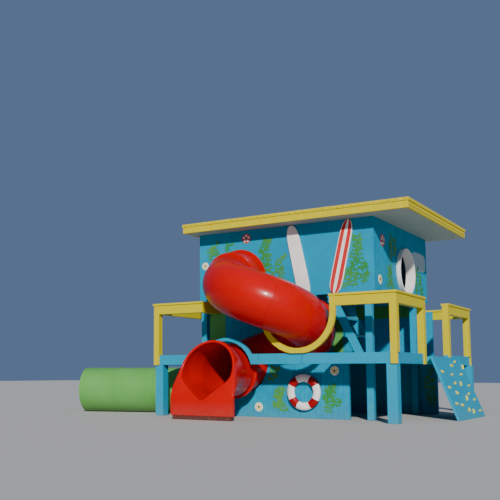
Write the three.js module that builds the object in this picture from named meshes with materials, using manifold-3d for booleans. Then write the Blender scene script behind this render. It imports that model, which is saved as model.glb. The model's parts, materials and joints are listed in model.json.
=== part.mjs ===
// Water slide tower: a raised play deck with a roofed cabin, a tube slide and a climbing ramp.
// Millimetres, +Z up, X along the front to the right, Y to the back.
// The origin is the foot of the front left deck post, at the middle of its section.
import * as THREE from 'three';
import { mergeVertices } from 'three/addons/utils/BufferGeometryUtils.js';
import Module from 'manifold-3d';

const wasm = await Module();
wasm.setup();

const GAP = 0.3;
// How far a cutter runs past what it cuts
const PAST = 5;

// Deck
const DECK_POST = 190;
const DECK_WIDTH = 5215;
const DECK_DEPTH = 5060;
const DECK_TOP = 1260;
const FLOOR_TOP = 1205;
const BACK_POST_OUT = 75;
const BEAM_HEIGHT = 205;
const BEAM_THICK = 100;
const FLOOR_THICK = 35;
const LEFT = -DECK_POST / 2;
const FRONT = -DECK_POST / 2;
const RIGHT = LEFT + DECK_WIDTH;
const BACK = FRONT + DECK_DEPTH;
const BEAM_UNDER = DECK_TOP - BEAM_HEIGHT;
const BEAM_INNER_Y = FRONT + BEAM_THICK;
const FLOOR_UNDER = FLOOR_TOP - FLOOR_THICK;

// Guard rails
const RAIL_TOP = 2355;
const CAP_THICK = 40;
const CAP_WIDTH = 170;
const RAIL_HEIGHT = 185;
const RAIL_POST = 130;
const RAIL_LAP = 30;
const CAP_LAP = 16;
const RAIL_UNDER = RAIL_TOP - CAP_THICK - RAIL_HEIGHT;
const HALF_POST = RAIL_POST / 2;
const LINE_FRONT = FRONT - RAIL_LAP + HALF_POST;
const LINE_BACK = BACK + RAIL_LAP - HALF_POST;
const LINE_LEFT = LEFT - RAIL_LAP + HALF_POST;
const LINE_RIGHT = RIGHT + RAIL_LAP - HALF_POST;
const RAIL_FRONT_END = 1097;
const RAMP_OPEN_FRONT = 1590;
const RAMP_OPEN_BACK = 3200;
const MID_RAIL_Y = 2450;
const MID_RAIL_X = 2512;

// Cabin
const CABIN_LEFT = 580;
const CABIN_RIGHT = 4500;
const CABIN_FRONT = 605;
const CABIN_BACK = 3930;
const CABIN_UNDER = 2424;
const FRONT_WALL_UNDER = 2290;
const STAIR_HEADROOM_X = 3300;
const WALL_TOP = 3878;
const WALL_THICK = 60;
const CABIN_FLOOR_THICK = 60;
const CABIN_POST = 133;
const RIGHT_POST_X = 4270;
const MID_POST_Y = 3350;
const PORTHOLE = { y: 2370, z: 2976, outer: 490, neck: 475, inner: 455, proud: 90, inside: 50 };
const STAIR = { front: 666, rear: 1340, plate: 40, footLeft: 4085, footRight: 4262, lean: 602 };
const TREAD = { tops: [1622, 1968, 2314], thick: 45, over: 22 };
const HATCH = { x0: 3480, x1: 4260, y0: 700, y1: 1285 };

// Roof
const ROOF_LEFT = 400;
const ROOF_RIGHT = 5315;
const ROOF_FRONT = 205;
const ROOF_BACK = 4160;
const ROOF_TOP = 4072;
const FASCIA_THICK = 45;
const SOFFIT_THICK = 25;
const ROOF_CAP_THICK = 60;
const ROOF_CAP_LIP = 15;

// Tube slide: one loop down in a racetrack plan, entered at the cabin wall
const TUBE_R = 515;
const TUBE_WALL = 14;
const TUBE_SIDES = 32;
const TUBE_GAP = 22;
const FLANGE_R = TUBE_R + 45;
const FLANGE_THICK = 34;
const LEG_X = 1620;
const TURN_R = 765;
const FRONT_TURN_Y = 250;
const BACK_TURN_Y = 430;
const SLIDE_START = { y: CABIN_FRONT + WALL_THICK, z: 2907 };
const MOUTH_Y = -1020;
const SLOPE_TOP = 0.2;
const SLOPE_STEEP = 0.375;
const SLOPE_END = 0.01;
const STEEPENS = [250, 600];
const LEVELS = [5100, 5900];
const ENTRY_END = 470;
const ENTRY_STEPS = 6;
const MIDDLE_JOINT = 1250;
const UPPER_JOINT = 2040;
const RING_JOINT = 3050;
const LOWER_JOINT = 4350;
const EXIT_JOINT = 5640;
const FLUSH_JOINTS = [MIDDLE_JOINT, UPPER_JOINT];

// Collar where the slide comes in over the front beam
const RING = { x: 3221, z: 2024, outer: 780, inner: 670, thick: 65 };
// Arch where the slide goes out through the front beam
const ARCH = { x: LEG_X, z: 930, outer: 660, inner: 590 };

// Slide mouth
const MOUTH = { z: 915, outer: 590, inner: 562, flareFrom: -150, flareTo: -560, tip: 358, tipRadius: 60,
  straightBelow: 0.25, intoFlare: 18 };
const MASK = { arch: 612, neck: 0.985, half: 697, shoulder: 620, bottom: 75, thick: 80 };
const MASK_LEAN = { from: 450, top: 1600, back: 470 };
const EXIT_BASE = { half: 655, front: 10, depth: 75 };

// Crawl tunnel
const TUNNEL_R = 506;
const TUNNEL_WALL = 14;
const TUNNEL_STEPS = 7;
const TUNNEL_POINTS = [[-2550, 572], [-800, 1096], [80, 1640]];
const TUNNEL_CORNER = 556;
const TUNNEL_HANGER = { y0: 1430, y1: 1600, under: 961, inset: 20 };

const COLORS = {
  blue: 0x0bb4d4,
  yellow: 0xd8c31e,
  red: 0xd8141c,
  darkRed: 0x8c1418,
  green: 0x76b45c,
  white: 0xece6de,
  soffit: 0xb9c2bc,
};

const tower = new THREE.Group();

function add(name, geometry, color, roughness = 0.55) {
  const material = new THREE.MeshStandardMaterial({ color: COLORS[color], roughness, metalness: 0 });
  const mesh = new THREE.Mesh(geometry, material);
  mesh.name = name;
  tower.add(mesh);
}

// A box given by its lowest and highest corners.
function block(low, high) {
  const size = high.map((value, axis) => value - low[axis]);
  const geometry = new THREE.BoxGeometry(...size);
  geometry.translate(...low.map((value, axis) => value + size[axis] / 2));
  return geometry;
}

function solid(geometry) {
  const bare = geometry.clone();
  bare.deleteAttribute('normal');
  bare.deleteAttribute('uv');
  const merged = mergeVertices(bare, 1e-3);
  return new wasm.Manifold(new wasm.Mesh({
    numProp: 3,
    vertProperties: new Float32Array(merged.attributes.position.array),
    triVerts: new Uint32Array(merged.index.array),
  }));
}

function shape(body) {
  const mesh = body.getMesh();
  const geometry = new THREE.BufferGeometry();
  geometry.setAttribute('position', new THREE.BufferAttribute(mesh.vertProperties, 3));
  geometry.setIndex(new THREE.BufferAttribute(mesh.triVerts, 1));
  geometry.computeVertexNormals();
  return geometry;
}

function fuse(...geometries) {
  return shape(geometries.map(solid).reduce((whole, piece) => whole.add(piece)));
}

function cut(geometry, ...cutters) {
  return shape(cutters.map(solid).reduce((whole, piece) => whole.subtract(piece), solid(geometry)));
}

function common(first, second) {
  return shape(solid(first).intersect(solid(second)));
}

// The smallest convex body round several bodies.
function wrap(...geometries) {
  return shape(wasm.Manifold.hull(geometries.map(solid)));
}

// A plate given by its outline in X and Z, from y0 to y1.
function plateAlongY(points, y0, y1) {
  const outline = new THREE.Shape(points.map(([x, z]) => new THREE.Vector2(x, z)));
  const geometry = new THREE.ExtrudeGeometry(outline, { depth: y1 - y0, bevelEnabled: false });
  geometry.rotateX(Math.PI / 2);
  geometry.translate(0, y1, 0);
  return geometry;
}

// A plate given by its outline in Y and Z, from x0 to x1.
function plateAlongX(points, x0, x1) {
  const outline = new THREE.Shape(points.map(([y, z]) => new THREE.Vector2(y, z)));
  const geometry = new THREE.ExtrudeGeometry(outline, { depth: x1 - x0, bevelEnabled: false });
  geometry.rotateX(Math.PI / 2);
  geometry.rotateZ(Math.PI / 2);
  geometry.translate(x0, 0, 0);
  return geometry;
}

// A round bar along Y with its middle line at x and z.
function roundAlongY(x, z, radius, y0, y1) {
  const geometry = new THREE.CylinderGeometry(radius, radius, y1 - y0, TUBE_SIDES);
  geometry.rotateY(Math.PI / TUBE_SIDES);
  geometry.translate(x, (y0 + y1) / 2, z);
  return geometry;
}

function ringAlongX(outer, inner, thick) {
  const profile = [[inner, 0], [outer, 0], [outer, thick], [inner, thick], [inner, 0]];
  const geometry = new THREE.LatheGeometry(profile.map(([r, h]) => new THREE.Vector2(r, h)), 40);
  geometry.rotateZ(-Math.PI / 2);
  return geometry;
}

// The slide's middle line, measured in millimetres of plan length from the cabin wall.
const ENTRY_RUN = SLIDE_START.y - FRONT_TURN_Y;
const HALF_TURN = Math.PI * TURN_R;
const RETURN_RUN = BACK_TURN_Y - FRONT_TURN_Y;
const EXIT_FROM = ENTRY_RUN + HALF_TURN + RETURN_RUN + HALF_TURN;
const SLIDE_LENGTH = EXIT_FROM + BACK_TURN_Y - MOUTH_Y;
const LOOP_X = LEG_X + TURN_R;

function slidePlan(run) {
  if (run < ENTRY_RUN) return [LEG_X, SLIDE_START.y - run];
  let rest = run - ENTRY_RUN;
  if (rest < HALF_TURN) {
    const angle = Math.PI + rest / TURN_R;
    return [LOOP_X + TURN_R * Math.cos(angle), FRONT_TURN_Y + TURN_R * Math.sin(angle)];
  }
  rest -= HALF_TURN;
  if (rest < RETURN_RUN) return [LOOP_X + TURN_R, FRONT_TURN_Y + rest];
  rest -= RETURN_RUN;
  if (rest < HALF_TURN) {
    const angle = rest / TURN_R;
    return [LOOP_X + TURN_R * Math.cos(angle), BACK_TURN_Y + TURN_R * Math.sin(angle)];
  }
  return [LEG_X, BACK_TURN_Y - (rest - HALF_TURN)];
}

// The length ridden since a change of slope that comes in smoothly between two stations.
function easedRun(run, [from, to]) {
  const u = (run - from) / (to - from);
  if (u <= 0) return 0;
  if (u >= 1) return (to - from) * (u - 0.5);
  return (to - from) * (u ** 3 - u ** 4 / 2);
}

function slideHeight(run) {
  return SLIDE_START.z - SLOPE_TOP * run
    - (SLOPE_STEEP - SLOPE_TOP) * easedRun(run, STEEPENS)
    + (SLOPE_STEEP - SLOPE_END) * easedRun(run, LEVELS);
}

class SlideLine extends THREE.Curve {
  constructor(from, to) {
    super();
    this.from = from;
    this.to = to;
  }

  getPoint(t, target = new THREE.Vector3()) {
    const run = this.from + (this.to - this.from) * t;
    const [x, y] = slidePlan(run);
    return target.set(x, y, slideHeight(run));
  }
}

// A tube or a solid bar swept along a curve, its ends square to it.
function sweep(curve, radius, inner, steps) {
  const outline = new THREE.Shape();
  outline.absarc(0, 0, radius, 0, Math.PI * 2, false);
  if (inner > 0) {
    const hole = new THREE.Path();
    hole.absarc(0, 0, inner, 0, Math.PI * 2, true);
    outline.holes.push(hole);
  }
  return new THREE.ExtrudeGeometry(outline, {
    steps, extrudePath: curve, bevelEnabled: false, curveSegments: TUBE_SIDES / 2,
  });
}

// The room a length of slide takes up in what it passes through.
function tubeRoom(from, to, steps) {
  return sweep(new SlideLine(from, to), TUBE_R + TUBE_GAP, 0, steps);
}

// The back posts stand a little outside the deck's sides.
function deckPosts() {
  const rows = { front: { y: FRONT, out: 0 }, back: { y: BACK - DECK_POST, out: BACK_POST_OUT } };
  for (const [row, { y, out }] of Object.entries(rows)) {
    const xs = { left: LEFT - out, right: RIGHT - DECK_POST + out };
    for (const [side, x] of Object.entries(xs)) {
      add(`${row}_${side}_deck_post`, block([x, y, 0], [x + DECK_POST, y + DECK_POST, BEAM_UNDER]), 'blue');
    }
  }
}

function deckBeams() {
  const low = BEAM_UNDER;
  const high = DECK_TOP;
  const backY = BACK - BEAM_THICK;
  const archHole = roundAlongY(ARCH.x, ARCH.z, ARCH.inner, FRONT - BEAM_THICK, BEAM_INNER_Y + BEAM_THICK);
  add('front_beam_left', cut(block([LEFT, FRONT, low], [ARCH.x, BEAM_INNER_Y, high]), archHole), 'blue');
  add('front_beam_right', cut(block([ARCH.x, FRONT, low], [RIGHT, BEAM_INNER_Y, high]), archHole), 'blue');
  add('left_beam', block([LEFT, BEAM_INNER_Y, low], [LEFT + BEAM_THICK, backY, high]), 'blue');
  const wayOn = block([RIGHT - BEAM_THICK - PAST, RAMP_OPEN_FRONT, FLOOR_TOP],
    [RIGHT + PAST, RAMP_OPEN_BACK, high + PAST]);
  add('right_beam', cut(block([RIGHT - BEAM_THICK, BEAM_INNER_Y, low], [RIGHT, backY, high]), wayOn), 'blue');
  add('back_beam', block([LEFT, backY, low], [RIGHT, BACK, high]), 'blue');
}

function cabinPostPlaces() {
  const xs = { left: CABIN_LEFT, right: RIGHT_POST_X };
  const ys = { front: CABIN_FRONT + WALL_THICK, mid: MID_POST_Y, back: CABIN_BACK - CABIN_POST };
  return Object.entries(ys).flatMap(([row, y]) =>
    Object.entries(xs).map(([side, x]) => ({ name: `${row}_${side}_cabin_post`, x, y })));
}

function cabinPosts() {
  for (const { name, x, y } of cabinPostPlaces()) {
    add(name, block([x, y, 0], [x + CABIN_POST, y + CABIN_POST, CABIN_UNDER]), 'blue');
  }
}

const WELL = { x0: 1040, x1: 3745, y1: 1770 };

function deckFloor() {
  const slab = block([LEFT + BEAM_THICK, BEAM_INNER_Y, FLOOR_UNDER],
    [RIGHT - BEAM_THICK, BACK - BEAM_THICK, FLOOR_TOP]);
  const well = block([WELL.x0, FRONT, BEAM_UNDER], [WELL.x1, WELL.y1, RAIL_TOP]);
  const holes = cabinPostPlaces().map(({ x, y }) =>
    block([x - GAP, y - GAP, BEAM_UNDER], [x + CABIN_POST + GAP, y + CABIN_POST + GAP, RAIL_TOP]));
  add('deck_floor', cut(slab, well, ...holes), 'blue', 0.7);
}

// A rail post: its shaft on the deck beam and its tongue lapping down outside it.
function railPost(x, y, lapX, lapY) {
  const shaft = block([x - HALF_POST, y - HALF_POST, DECK_TOP],
    [x + HALF_POST, y + HALF_POST, RAIL_UNDER + 1]);
  const low = [x - HALF_POST, y - HALF_POST, BEAM_UNDER];
  const high = [x + HALF_POST, y + HALF_POST, DECK_TOP + 1];
  if (lapX > 0) low[0] = high[0] - RAIL_LAP;
  if (lapX < 0) high[0] = low[0] + RAIL_LAP;
  if (lapY > 0) low[1] = high[1] - RAIL_LAP;
  if (lapY < 0) high[1] = low[1] + RAIL_LAP;
  return [shaft, block(low, high)];
}

// One run of rail along X or Y: its beam, the cap board on it and the posts that carry it.
function railRun({ axis, at, side, ends, capEnds, posts }) {
  const bar = ([low, high], half, z0, z1) => (axis === 'x'
    ? block([low, at - half, z0], [high, at + half, z1])
    : block([at - half, low, z0], [at + half, high, z1]));
  const legs = posts.flatMap((place) => (axis === 'x'
    ? railPost(place, at, 0, side) : railPost(at, place, side, 0)));
  return [bar(ends, HALF_POST, RAIL_UNDER, RAIL_UNDER + RAIL_HEIGHT),
    bar(capEnds, CAP_WIDTH / 2, RAIL_TOP - CAP_THICK, RAIL_TOP), ...legs];
}

function rails() {
  const over = CAP_WIDTH / 2;
  const half = HALF_POST;
  const ringEnd = RING.x + RING.outer + GAP;
  const rail = (name, run) => add(name, fuse(...railRun(run)), 'yellow', 0.5);
  rail('front_right_rail', { axis: 'x', at: LINE_FRONT, side: -1, posts: [LINE_RIGHT],
    ends: [ringEnd, LINE_RIGHT + half], capEnds: [RING.x + RING.inner - CAP_LAP, LINE_RIGHT + over] });
  const arm = block([RAIL_FRONT_END - RAIL_POST, LINE_FRONT, RAIL_UNDER],
    [RAIL_FRONT_END, CABIN_FRONT, RAIL_TOP]);
  const leftRun = railRun({ axis: 'x', at: LINE_FRONT, side: -1, posts: [LINE_LEFT],
    ends: [LINE_LEFT - half, RAIL_FRONT_END], capEnds: [LINE_LEFT - over, RAIL_FRONT_END] });
  add('front_left_rail', fuse(...leftRun, arm), 'yellow', 0.5);
  rail('back_rail', { axis: 'x', at: LINE_BACK, side: 1, posts: [LINE_LEFT, MID_RAIL_X, LINE_RIGHT],
    ends: [LINE_LEFT - half, LINE_RIGHT + half], capEnds: [LINE_LEFT - over, LINE_RIGHT + over] });
  rail('left_rail', { axis: 'y', at: LINE_LEFT, side: -1, posts: [MID_RAIL_Y],
    ends: [LINE_FRONT + half, LINE_BACK - half], capEnds: [LINE_FRONT + over, LINE_BACK - over] });
  rail('near_right_rail', { axis: 'y', at: LINE_RIGHT, side: 1, posts: [RAMP_OPEN_FRONT - half],
    ends: [LINE_FRONT + half, RAMP_OPEN_FRONT], capEnds: [LINE_FRONT + over, RAMP_OPEN_FRONT] });
  rail('far_right_rail', { axis: 'y', at: LINE_RIGHT, side: 1, posts: [RAMP_OPEN_BACK + half],
    ends: [RAMP_OPEN_BACK, LINE_BACK - half], capEnds: [RAMP_OPEN_BACK, LINE_BACK - over] });
}

function cabin() {
  const inFront = CABIN_FRONT + WALL_THICK;
  const inBack = CABIN_BACK - WALL_THICK;
  const inLeft = CABIN_LEFT + WALL_THICK;
  const inRight = CABIN_RIGHT - WALL_THICK;
  const wall = (x0, y0, x1, y1, under = CABIN_UNDER) => block([x0, y0, under], [x1, y1, WALL_TOP]);
  const slideHole = sweep(new SlideLine(-TUBE_R, ENTRY_END), TUBE_R + GAP, 0, ENTRY_STEPS);
  const front = wall(CABIN_LEFT, CABIN_FRONT, CABIN_RIGHT, inFront, FRONT_WALL_UNDER);
  const notch = tubeRoom(UPPER_JOINT, LOWER_JOINT, 20);
  const headroom = block([STAIR_HEADROOM_X, CABIN_FRONT - PAST, FRONT_WALL_UNDER - PAST],
    [CABIN_RIGHT + PAST, inFront + PAST, CABIN_UNDER]);
  add('cabin_front_wall', cut(front, slideHole, notch, headroom, flangeRoom(RING_JOINT)), 'blue');
  add('cabin_back_wall', wall(CABIN_LEFT, inBack, CABIN_RIGHT, CABIN_BACK), 'blue');
  add('cabin_left_wall', wall(CABIN_LEFT, inFront, inLeft, inBack), 'blue');
  const window = ringAlongX(PORTHOLE.neck + 1, 0, WALL_THICK * 3);
  window.translate(CABIN_RIGHT - WALL_THICK * 2, PORTHOLE.y, PORTHOLE.z);
  add('cabin_right_wall', cut(wall(inRight, inFront, CABIN_RIGHT, inBack), window), 'blue');
  const floor = block([inLeft, inFront, CABIN_UNDER], [inRight, inBack, CABIN_UNDER + CABIN_FLOOR_THICK]);
  const hatch = block([HATCH.x0, HATCH.y0, RAIL_TOP], [HATCH.x1, HATCH.y1, WALL_TOP]);
  add('cabin_floor', cut(floor, hatch, slideHole), 'blue', 0.7);
}

function porthole() {
  const { y, z, outer, neck, inner, proud, inside } = PORTHOLE;
  const sleeve = ringAlongX(neck, inner, inside + WALL_THICK + proud);
  sleeve.translate(CABIN_RIGHT - WALL_THICK - inside, y, z);
  const lip = ringAlongX(outer, inner, proud);
  lip.translate(CABIN_RIGHT, y, z);
  add('porthole_collar', fuse(sleeve, lip), 'white', 0.4);
}

function roof() {
  const under = WALL_TOP;
  const capUnder = ROOF_TOP - ROOF_CAP_THICK;
  const edge = FASCIA_THICK;
  const lip = ROOF_CAP_LIP;
  add('roof_soffit', block([ROOF_LEFT + edge, ROOF_FRONT + edge, under],
    [ROOF_RIGHT - edge, ROOF_BACK - edge, under + SOFFIT_THICK]), 'soffit', 0.8);
  const fascia = (name, x0, y0, x1, y1) =>
    add(`${name}_fascia`, block([x0, y0, under], [x1, y1, capUnder]), 'yellow');
  fascia('front', ROOF_LEFT, ROOF_FRONT, ROOF_RIGHT, ROOF_FRONT + edge);
  fascia('back', ROOF_LEFT, ROOF_BACK - edge, ROOF_RIGHT, ROOF_BACK);
  fascia('left', ROOF_LEFT, ROOF_FRONT + edge, ROOF_LEFT + edge, ROOF_BACK - edge);
  fascia('right', ROOF_RIGHT - edge, ROOF_FRONT + edge, ROOF_RIGHT, ROOF_BACK - edge);
  add('roof_cap', block([ROOF_LEFT - lip, ROOF_FRONT - lip, capUnder],
    [ROOF_RIGHT + lip, ROOF_BACK + lip, ROOF_TOP]), 'yellow');
}

// A bar square to the slide at one station, from one offset along it to another.
function acrossSlide(run, radius, inner, from, to) {
  const line = new SlideLine(run - 1, run + 1);
  const middle = line.getPoint(0.5);
  const along = line.getTangent(0.5);
  const end = (offset) => middle.clone().addScaledVector(along, offset);
  return sweep(new THREE.LineCurve3(end(from), end(to)), radius, inner, 1);
}

function flange(run, side) {
  const [from, to] = side > 0 ? [0, FLANGE_THICK] : [-FLANGE_THICK, 0];
  return acrossSlide(run, FLANGE_R, TUBE_R - TUBE_WALL, from, to);
}

// The room that the two flanges of one joint take up in what they pass through.
function flangeRoom(run) {
  return acrossSlide(run, FLANGE_R + TUBE_GAP, 0, -FLANGE_THICK - TUBE_GAP, FLANGE_THICK + TUBE_GAP);
}

function jointSlit(run) {
  return acrossSlide(run, FLANGE_R + TUBE_GAP, 0, -GAP / 2, GAP / 2);
}

// A length of tube between two joints. Some joints are flush and the others have flanges.
function tubeSection(name, from, to, steps) {
  const tube = sweep(new SlideLine(from, to), TUBE_R, TUBE_R - TUBE_WALL, steps);
  const flanges = [[from, 1], [to, -1]].filter(([run]) => !FLUSH_JOINTS.includes(run));
  const whole = fuse(tube, ...flanges.map(([run, side]) => flange(run, side)));
  add(name, cut(whole, jointSlit(from), jointSlit(to)), 'red', 0.25);
}

function slide() {
  const entry = sweep(new SlideLine(-TUBE_R, ENTRY_END), TUBE_R, TUBE_R - TUBE_WALL, ENTRY_STEPS);
  const inCabin = block([LEG_X - FLANGE_R, SLIDE_START.y, 0], [LEG_X + FLANGE_R, BACK, ROOF_TOP]);
  add('slide_entry', cut(fuse(entry, flange(ENTRY_END, -1)), inCabin, jointSlit(ENTRY_END)), 'red', 0.25);
  tubeSection('slide_upper_bend_1', ENTRY_END, MIDDLE_JOINT, 6);
  tubeSection('slide_upper_bend_middle', MIDDLE_JOINT, UPPER_JOINT, 6);
  tubeSection('slide_upper_bend_2', UPPER_JOINT, RING_JOINT, 8);
  tubeSection('slide_lower_bend_1', RING_JOINT, LOWER_JOINT, 9);
  tubeSection('slide_lower_bend_2', LOWER_JOINT, EXIT_JOINT, 9);
}

// A thin round slice of the slide near its mouth.
function slice(y, z, radius) {
  return roundAlongY(LEG_X, z, radius, y, y + 1);
}

// The mouth's opening: round above, drawn down to a rounded tip.
function openingSlice(y) {
  const { z, inner, tip, tipRadius, straightBelow } = MOUTH;
  const above = common(slice(y, z, inner),
    block([LEG_X - inner, y - PAST, z - inner * straightBelow], [LEG_X + inner, y + PAST, RAIL_TOP]));
  return wrap(above, roundAlongY(LEG_X, tip + tipRadius, tipRadius, y, y + 1));
}

// The leaning slab that the mouth's face plate is cut from, as an outline in Y and Z.
function leaningSide(offset) {
  const { from, top, back } = MASK_LEAN;
  return [[MOUTH_Y + offset, MASK.bottom], [MOUTH_Y + offset, from], [MOUTH_Y + offset + back, top]];
}

function slideExit() {
  const jointY = BACK_TURN_Y - (EXIT_JOINT - EXIT_FROM);
  const start = MOUTH.flareFrom;
  const flareRun = EXIT_FROM + BACK_TURN_Y - start;
  const endZ = slideHeight(flareRun);
  const tubeEnd = flareRun + MOUTH.intoFlare;
  const tube = sweep(new SlideLine(EXIT_JOINT, tubeEnd), TUBE_R, 0, 4);
  const flare = wrap(slice(start, endZ, TUBE_R + 2), slice(MOUTH.flareTo, MOUTH.z, MOUTH.outer));
  const nose = roundAlongY(LEG_X, MOUTH.z, MOUTH.outer, MOUTH_Y, MOUTH.flareTo + 1);
  const farY = jointY + TUBE_R;
  const behindFace = plateAlongX([...leaningSide(0), [farY, MASK_LEAN.top], [farY, MASK.bottom]],
    LEG_X - MASK.half, LEG_X + MASK.half);
  const slab = plateAlongX([...leaningSide(0), ...leaningSide(MASK.thick).reverse()],
    LEG_X - MASK.half, LEG_X + MASK.half);
  const { half, shoulder, bottom, arch } = MASK;
  const neckHalf = arch * MASK.neck;
  const neckZ = MOUTH.z + Math.sqrt(arch ** 2 - neckHalf ** 2);
  const skirt = plateAlongY([[LEG_X - half, bottom], [LEG_X + half, bottom], [LEG_X + half, shoulder],
    [LEG_X + neckHalf, neckZ], [LEG_X - neckHalf, neckZ], [LEG_X - half, shoulder]], MOUTH_Y, 0);
  const face = common(fuse(skirt, roundAlongY(LEG_X, MOUTH.z, arch, MOUTH_Y, 0)), slab);
  const outside = fuse(common(fuse(tube, flare, nose), behindFace), face, flange(EXIT_JOINT, 1));
  const bore = TUBE_R - TUBE_WALL;
  const tubeBore = sweep(new SlideLine(EXIT_JOINT - FLANGE_THICK, tubeEnd), bore, 0, 4);
  const flareRoom = wrap(slice(start, endZ, bore + 2), openingSlice(MOUTH.flareTo));
  const noseRoom = wrap(openingSlice(MOUTH.flareTo), openingSlice(MOUTH_Y - 50));
  add('slide_exit', cut(outside, tubeBore, flareRoom, noseRoom, jointSlit(EXIT_JOINT)), 'red', 0.25);
  add('slide_exit_base', block([LEG_X - EXIT_BASE.half, MOUTH_Y + EXIT_BASE.front, 0],
    [LEG_X + EXIT_BASE.half, MOUTH_Y + EXIT_BASE.depth, MASK.bottom]), 'darkRed', 0.6);
}

function slideRing() {
  const { x, z, outer, inner, thick } = RING;
  const y0 = FRONT - 45;
  const y1 = y0 + thick;
  const ring = cut(roundAlongY(x, z, outer, y0, y1), roundAlongY(x, z, inner, y0 - PAST, y1 + PAST));
  const arm = block([x + inner, y0, z - 1], [x + outer, y1, RAIL_TOP - CAP_THICK]);
  const above = block([x - outer, y0 - PAST, z], [x + outer, y1 + PAST, RAIL_TOP + outer]);
  const below = block([x - outer, y0 - PAST, 0], [x + outer, y1 + PAST, DECK_TOP]);
  const collar = fuse(cut(ring, above, below), arm);
  add('slide_ring', cut(collar, tubeRoom(ENTRY_END, RING_JOINT, 16)), 'yellow', 0.4);
}

function exitArch() {
  const { x, z, outer, inner } = ARCH;
  const hole = roundAlongY(x, z, inner, FRONT - PAST, BEAM_INNER_Y + PAST);
  const arch = cut(roundAlongY(x, z, outer, FRONT, BEAM_INNER_Y), hole);
  const below = block([x - outer, FRONT - PAST, 0], [x + outer, BEAM_INNER_Y + PAST, DECK_TOP]);
  add('slide_exit_arch', cut(arch, below), 'blue', 0.4);
}

// Walls under the deck
const LOWER_WALL = { right: 3950, backY: 3545, wingRight: 4775, thick: 60 };

function lowerWalls() {
  const { right, backY, wingRight, thick } = LOWER_WALL;
  const left = CABIN_LEFT;
  const sideFront = CABIN_FRONT + WALL_THICK + CABIN_POST;
  const wall = (x0, y0, x1, y1) => block([x0, y0, 0], [x1, y1, FLOOR_UNDER]);
  const front = wall(left, CABIN_FRONT, right, CABIN_FRONT + thick);
  add('lower_front_wall', cut(front, tubeRoom(RING_JOINT, EXIT_FROM + BACK_TURN_Y, 24),
    flangeRoom(LOWER_JOINT)), 'blue', 0.6);
  add('lower_back_wall', wall(left, backY, wingRight, backY + thick), 'blue', 0.6);
  add('lower_left_wall', wall(left, sideFront, left + thick, MID_POST_Y), 'blue', 0.6);
}

// Screen of upright boards behind the slide, and the closed back of the deck under the cabin
const SCREEN = { y: 1780, thick: 40, top: 2340, edges: [26, 520, 3126, 3365, 3640] };
// Panel and beam under the cabin's back wall
const BACK_PANEL = { inset: 90, thick: 60 };
const BACK_BEAM = { front: 20, rear: 80 };
// Upright board at the back rail
const BACK_BOARD = { x0: 4170, x1: 4345, thick: 70 };

function screens() {
  const boards = [['screen_board_left', 'green'], ['screen_panel', 'blue'],
    ['screen_board_middle', 'green'], ['screen_board_right', 'blue']];
  boards.forEach(([name, color], i) => {
    add(name, block([SCREEN.edges[i], SCREEN.y, FLOOR_TOP],
      [SCREEN.edges[i + 1], SCREEN.y + SCREEN.thick, SCREEN.top]), color, 0.6);
  });
  const y0 = CABIN_BACK - BACK_PANEL.inset;
  const left = CABIN_LEFT + CABIN_POST;
  const right = RIGHT_POST_X;
  add('deck_back_wall', block([left, y0, FLOOR_TOP],
    [right, y0 + BACK_PANEL.thick, RAIL_UNDER]), 'blue', 0.6);
  add('cabin_back_beam', block([left, y0 - BACK_BEAM.front, RAIL_UNDER],
    [right, y0 + BACK_BEAM.rear, CABIN_UNDER]), 'green', 0.6);
  const railFace = LINE_BACK - HALF_POST;
  add('back_rail_board', block([BACK_BOARD.x0, railFace - BACK_BOARD.thick, FLOOR_TOP],
    [BACK_BOARD.x1, railFace, RAIL_TOP - CAP_THICK]), 'blue', 0.6);
}

function stair() {
  const { front, rear, plate, footLeft, footRight, lean } = STAIR;
  const rise = CABIN_UNDER - FLOOR_TOP;
  const outline = [[footLeft, FLOOR_TOP], [footRight, FLOOR_TOP],
    [footRight - lean, CABIN_UNDER], [footLeft - lean, CABIN_UNDER]];
  const treads = TREAD.tops.map((top) => {
    const back = footLeft - lean * (top - FLOOR_TOP) / rise;
    return block([back - TREAD.over, front + 2, top - TREAD.thick],
      [back + footRight - footLeft, rear - 2, top]);
  });
  add('cabin_stair', fuse(plateAlongY(outline, front, front + plate),
    plateAlongY(outline, rear - plate, rear), ...treads), 'blue');
}

// Climbing ramp and its landing at the open stretch of the right side
const RAMP = { y0: 1400, y1: 3385, thick: 50, footX: 5782, topX: 5305 };

function ramp() {
  const { y0, y1, thick, footX, topX } = RAMP;
  const side = [[footX, 0], [topX, FLOOR_TOP], [topX - thick, FLOOR_TOP], [footX - thick, 0]];
  const board = plateAlongY(side, y0, y1);
  const landing = block([RIGHT, RAMP_OPEN_FRONT + GAP, BEAM_UNDER],
    [topX - thick + PAST, RAMP_OPEN_BACK - GAP, FLOOR_TOP]);
  add('climbing_ramp', fuse(board, landing), 'blue', 0.5);
}

function tunnel() {
  const at = ([x, y]) => new THREE.Vector3(x, y, TUNNEL_R);
  const [start, joint, end] = TUNNEL_POINTS.map(at);
  const along = joint.clone().sub(start).normalize();
  const corner = joint.clone().addScaledVector(along, TUNNEL_CORNER);
  const bend = new THREE.QuadraticBezierCurve3(joint.clone().addScaledVector(along, GAP), corner, end);
  const bore = TUNNEL_R - TUNNEL_WALL;
  add('tunnel_tube', sweep(new THREE.LineCurve3(start, joint), TUNNEL_R, bore, 1), 'green', 0.35);
  const { y0, y1, under, inset } = TUNNEL_HANGER;
  const hanger = block([LEFT + inset, y0, under], [LEFT + BEAM_THICK - inset, y1, BEAM_UNDER]);
  const foot = cut(hanger, sweep(bend, TUNNEL_R - TUNNEL_WALL / 2, 0, TUNNEL_STEPS));
  add('tunnel_bend', fuse(sweep(bend, TUNNEL_R, bore, TUNNEL_STEPS), foot), 'green', 0.35);
}

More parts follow.
